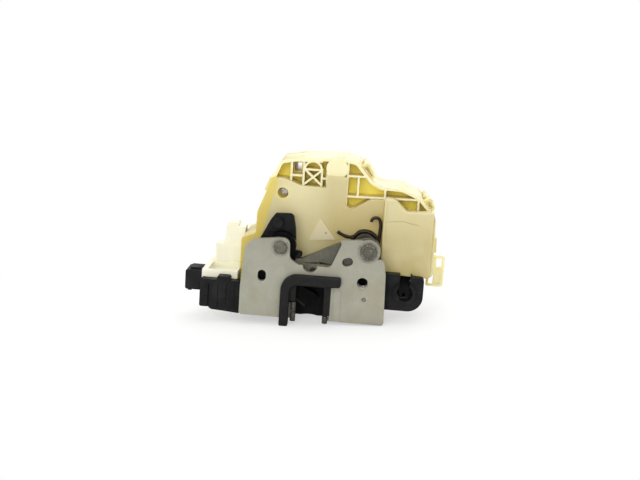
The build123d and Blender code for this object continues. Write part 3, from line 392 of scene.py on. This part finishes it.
LOOKS = {
    "latch_plate": PLATE, "back_plate": BACK_STEEL, "weld_nut": STEEL, "claw_rivet": RIVET,
    "pawl_rivet": RIVET, "claw": COATED, "pawl": RELEASE, "claw_sleeve": BLACK,
    "mouth_bumper": RUBBER, "outer_release_lever": BLACK, "latch_case": BLACK,
    "spring_spool": DRUM, "pawl_spring": SPRING, "claw_spring": SPRING,
    "actuator_case": CASE, "case_seal": RUBBER, "actuator_cover": CREAM,
    "case_screws": STEEL, "linkage_cover": COVER, "release_link": WHITE,
    "cable_bracket": BLACK, "lever_pin": STEEL, "inner_release_lever": SOFT_BLACK,
    "connector_block": WHITE, "plug_socket": SOFT_BLACK, "connector_pins": CONTACT,
    "lock_wheel": WHITE, "wheel_axle": STEEL, "motor_worm": AMBER, "lock_motor": STEEL,
    "lock_slider": SOFT_BLACK, "slider_guide": BLACK, "claw_switch": BLACK,
    "claw_switch_plunger": SOFT_BLACK, "lock_switch": BLACK, "lock_switch_plunger": SOFT_BLACK,
    "contact_strips": CONTACT,
}
for name, obj in NODES.items():
    obj.data.materials.clear()
    obj.data.materials.append(LOOKS[name])


# ---------------------------------------------------------------- soft edges
# Bevel widths in mm. Wound wire, the worm and the pieces that slide in a slot have none.
EDGE = {"latch_plate": 0.35, "claw": 0.25, "pawl": 0.25, "mouth_bumper": 0.5, "latch_case": 0.3,
        "actuator_case": 0.22, "actuator_cover": 0.22, "outer_release_lever": 0.4,
        "pawl_spring": 0, "claw_spring": 0, "claw_rivet": 0.15, "pawl_rivet": 0.15,
        "motor_worm": 0, "case_seal": 0.1, "contact_strips": 0.08, "connector_pins": 0.1,
        "claw_switch": 0, "lock_switch": 0, "claw_switch_plunger": 0, "lock_switch_plunger": 0}
for name, obj in NODES.items():
    weld = obj.modifiers.new("weld", "WELD")
    weld.merge_threshold = WELD_REACH * MM
    width = EDGE.get(name, DEFAULT_EDGE)
    if width:
        bevel = obj.modifiers.new("edges", "BEVEL")
        bevel.width = width * MM
        bevel.segments = 2
        bevel.limit_method = "ANGLE"
        bevel.angle_limit = SHARP
        bevel.use_clamp_overlap = True
        bevel.harden_normals = True


# ---------------------------------------------------------------- fine pieces
def mesh_piece(name, form, finish, body):
    """A piece of its own from mesh code, riding on a body."""
    mesh = bpy.data.meshes.new(name)
    bmesh.ops.recalc_face_normals(form, faces=form.faces)
    form.to_mesh(mesh)
    form.free()
    mesh.materials.append(finish)
    mesh.shade_smooth()
    obj = bpy.data.objects.new(name, mesh)
    bpy.context.scene.collection.objects.link(obj)
    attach(obj, body)


def around(at, r, y, angle):
    """The point at radius r and depth y round the Y axis through (x, z), from mm."""
    return Vector((at[0] + r * math.cos(angle), y, at[1] + r * math.sin(angle))) * MM


def skin(form, rings):
    """Quads between neighbouring rings of points, and a face over each end."""
    for a, b in zip(rings, rings[1:]):
        for i in range(len(a)):
            n = (i + 1) % len(a)
            form.faces.new((a[i], a[n], b[n], b[i]))
    form.faces.new(rings[0])
    form.faces.new(rings[-1][::-1])


def thread_ridge(name, at, radius, pitch, front, back, finish, body):
    """The crest of a screw thread winding down a bore along Y, all in mm."""
    steps, fade = 40, 12                 # points in a turn, and in each end's taper
    height, flat, sunk = 0.3, 0.06, 0.06
    foot = 0.42 * pitch                  # half of the ridge's width at the wall
    margin = 0.4                         # pitches left free at each end
    turns = (back - front) / pitch - 2 * margin
    form = bmesh.new()
    rings = []
    for i in range(int(turns * steps) + 1):
        angle = 2 * math.pi * i / steps
        y = front + margin * pitch + pitch * i / steps
        crest = radius - height * min(1.0, i / fade, (turns * steps - i) / fade)
        section = ((radius + sunk, -foot), (crest, -flat), (crest, flat), (radius + sunk, foot))
        rings.append([form.verts.new(around(at, r, y + dy, angle)) for r, dy in section])
    skin(form, rings)
    mesh_piece(name, form, finish, body)


def turned_form(name, at, profile, finish, body, steps=40):
    """A form of revolution about a Y axis at (x, z), from (radius, y) pairs in mm."""
    form = bmesh.new()
    angles = [2 * math.pi * i / steps for i in range(steps)]
    rings = [[form.verts.new(around(at, r, y, angle)) for angle in angles] for r, y in profile]
    skin(form, rings)
    mesh_piece(name, form, finish, body)


def dome(radius, height, front, sunk=0.05, steps=8):
    """Profile of a small round pip standing on a face at that depth, and sunk into it."""
    angles = [t * math.pi / (2 * steps) for t in range(steps)]
    return [(radius * math.cos(a), front + sunk - (height + sunk) * math.sin(a)) for a in angles]


turned_form("lever_pip", LEVER_PIP, dome(0.75, 0.35, LEVER_Y), BLACK, "outer_lever_body")
turned_form("pawl_pip", PAWL_PIP, dome(0.9, 0.3, PAWL_Y), RELEASE, "pawl_body")
thread_ridge("fixing_thread", THREAD_AT, THREAD_R, THREAD_PITCH, 0.0, THREAD_END, STEEL,
             "latch_body")


# ---------------------------------------------------------------- studio
TILT = math.radians(3.8)                 # lean of the floor against the latch
FOOT = Vector((-14.5, 0, -18.5)) * MM    # a point of the floor under the bumper's left foot
FLOOR_HALF = 2.5                         # half of the floor's side, in m
SHADE_FROM, SHADE_TO = 0.05, 0.22        # round the latch, in m: the floor fades to white there
WORLD_LIGHT = 0.40

CAMERA_AT = Vector((37.03, -597.63, 163.89)) * MM
CAMERA_RIGHT = Vector((0.99537, 0.06976, 0.06611))
CAMERA_UP = Vector((-0.0793, 0.2074, 0.9750))
CAMERA_AHEAD = Vector((-0.0543, 0.97576, -0.21198))
CAMERA_LENS, CAMERA_SENSOR = 59.6, 36.0

# Name, place, target and size in m, power in W.
LIGHTS = (
    ("key", (-0.10, -0.80, 0.36), (0, 0.02, 0.03), (0.7, 0.7), 5.6),
    ("top", (0.1, 0.1, 0.85), (0, 0.03, 0.03), (0.8, 0.8), 3.6),
    ("side", (-0.75, 0.1, 0.35), (0, 0.03, 0.02), (0.6, 0.6), 1.6),
    ("fill", (0.75, -0.35, 0.2), (0, 0.02, 0.02), (0.5, 0.5), 1.0),
    ("rear", (0.15, 0.8, 0.4), (0, 0.03, 0.03), (0.7, 0.7), 3.0),
)


def studio_floor():
    """A pale paper floor that shows soft shadows near the latch and is white further out."""
    mesh = bpy.data.meshes.new("floor")
    form = bmesh.new()
    bmesh.ops.create_grid(form, x_segments=8, y_segments=8, size=FLOOR_HALF)
    form.to_mesh(mesh)
    form.free()
    floor = bpy.data.objects.new("floor", mesh)
    bpy.context.scene.collection.objects.link(floor)
    floor.matrix_world = Matrix.Translation(FOOT) @ Matrix.Rotation(-TILT, 4, "Y")
    f = Finish("floor_paper", "F4F4F2", 0.85, 0.0, 0.2)
    f.tint("EEEEEA", f.noise(300, 0.3, 0.7), 0.3)
    f.done()
    out = f.tree.nodes["Material Output"]
    seen = f.node("ShaderNodeEmission")
    seen.inputs["Color"].default_value = (1, 1, 1, 1)
    rays = f.node("ShaderNodeLightPath")
    mix = f.node("ShaderNodeMixShader")
    spread = f.node("ShaderNodeVectorMath", operation="LENGTH")
    f.link(f.place, spread.inputs[0])
    far = f.ranged(spread.outputs["Value"], SHADE_FROM, SHADE_TO, (0.5, 1.0))
    f.link(f.times(rays.outputs["Is Camera Ray"], far), mix.inputs[0])
    f.link(f.shader.outputs[0], mix.inputs[1])
    f.link(seen.outputs[0], mix.inputs[2])
    f.link(mix.outputs[0], out.inputs["Surface"])
    mesh.materials.append(f.material)


def studio_world():
    """White to the camera and in reflections, softer as light."""
    world = bpy.data.worlds.new("studio")
    bpy.context.scene.world = world
    world.use_nodes = True
    tree = world.node_tree
    back = tree.nodes["Background"]
    back.inputs["Color"].default_value = (1, 1, 1, 1)
    rays = tree.nodes.new("ShaderNodeLightPath")
    shown = rays.outputs["Is Camera Ray"]
    for kind in ("Is Transmission Ray", "Is Glossy Ray"):
        either = tree.nodes.new("ShaderNodeMath")
        either.operation = "ADD"
        tree.links.new(shown, either.inputs[0])
        tree.links.new(rays.outputs[kind], either.inputs[1])
        shown = either.outputs[0]
    level = tree.nodes.new("ShaderNodeMapRange")
    level.clamp = True
    for socket, number in zip(("From Min", "From Max", "To Min", "To Max"), (0, 1, WORLD_LIGHT, 1.0)):
        level.inputs[socket].default_value = number
    tree.links.new(shown, level.inputs["Value"])
    tree.links.new(level.outputs["Result"], back.inputs["Strength"])


def soft_light(name, place, target, size, power):
    """A rectangular lamp that points at its target."""
    lamp = bpy.data.lights.new(name, "AREA")
    lamp.shape = "RECTANGLE"
    lamp.size, lamp.size_y = size
    lamp.energy = power
    obj = bpy.data.objects.new(name, lamp)
    bpy.context.scene.collection.objects.link(obj)
    obj.location = place
    obj.rotation_euler = (Vector(target) - Vector(place)).to_track_quat("-Z", "Y").to_euler()


def photo_camera():
    """The photograph's viewpoint."""
    data = bpy.data.cameras.new("camera")
    data.lens = CAMERA_LENS
    data.sensor_width = CAMERA_SENSOR
    data.clip_start = 0.01
    cam = bpy.data.objects.new("camera", data)
    bpy.context.scene.collection.objects.link(cam)
    turn = Matrix((CAMERA_RIGHT, CAMERA_UP, -CAMERA_AHEAD)).transposed().to_4x4()
    cam.matrix_world = Matrix.Translation(CAMERA_AT) @ turn
    bpy.context.scene.camera = cam


studio_floor()
studio_world()
for light in LIGHTS:
    soft_light(*light)
photo_camera()
bpy.context.scene.view_settings.view_transform = "Standard"
